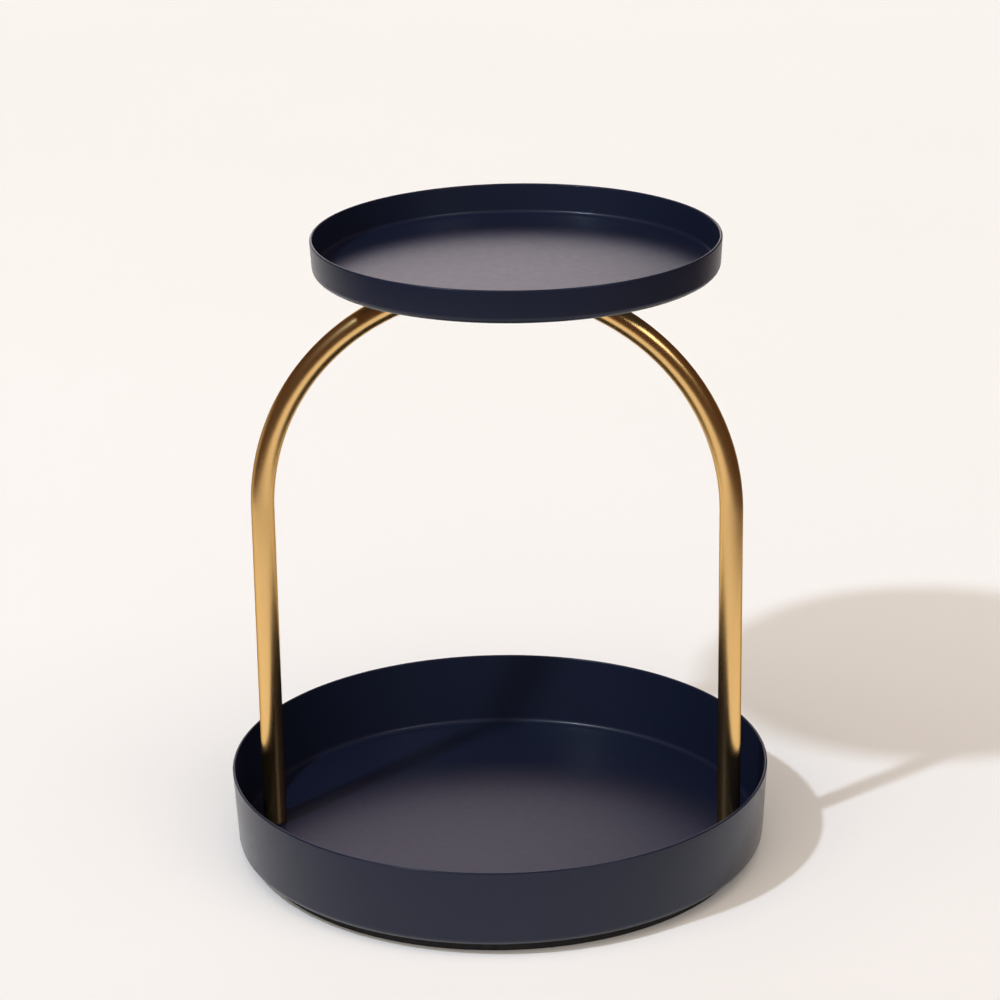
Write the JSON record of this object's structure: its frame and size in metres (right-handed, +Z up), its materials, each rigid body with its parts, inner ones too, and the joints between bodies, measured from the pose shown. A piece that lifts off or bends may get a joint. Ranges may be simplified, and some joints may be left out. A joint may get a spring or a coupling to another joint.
{
  "type": "tiered cake stand",
  "caption": "Tiered cake stand: a deep round lower tray and a shallow round upper tray of coated steel, joined by a bent tubular arch whose legs are screwed to the lower floor.",
  "frame": {"origin": "centre of the base pad's underside, on the table", "axes": "+Z up, +X towards the right leg of the arch, the arch lies in the XZ plane"},
  "size_m": [0.2798, 0.28, 0.33],
  "materials": {
    "tray_coat": "satin navy powder coat",
    "arch_brass": "satin lacquered brass plating",
    "base_foam": "matt closed-cell foam",
    "black_nylon": "moulded nylon",
    "zinc_steel": "bright zinc plate"
  },
  "bodies": {
    "root": {"base_pad": "base_foam", "lower_tray": "tray_coat", "upper_tray": "tray_coat", "arch_tube": "arch_brass", "arch_saddle": "black_nylon", "leg_gasket_left": "black_nylon", "leg_gasket_right": "black_nylon", "leg_plug_left": "zinc_steel", "leg_plug_right": "zinc_steel", "leg_washer_left": "zinc_steel", "leg_washer_right": "zinc_steel", "leg_spring_washer_left": "zinc_steel", "leg_spring_washer_right": "zinc_steel", "leg_screw_left": "zinc_steel", "leg_screw_right": "zinc_steel", "tray_stud_left": "zinc_steel", "tray_stud_right": "zinc_steel", "shaped_washer_left": "zinc_steel", "shaped_washer_right": "zinc_steel", "stud_spring_washer_left": "zinc_steel", "stud_spring_washer_right": "zinc_steel", "cap_nut_left": "zinc_steel", "cap_nut_right": "zinc_steel"}
  },
  "joints": []
}
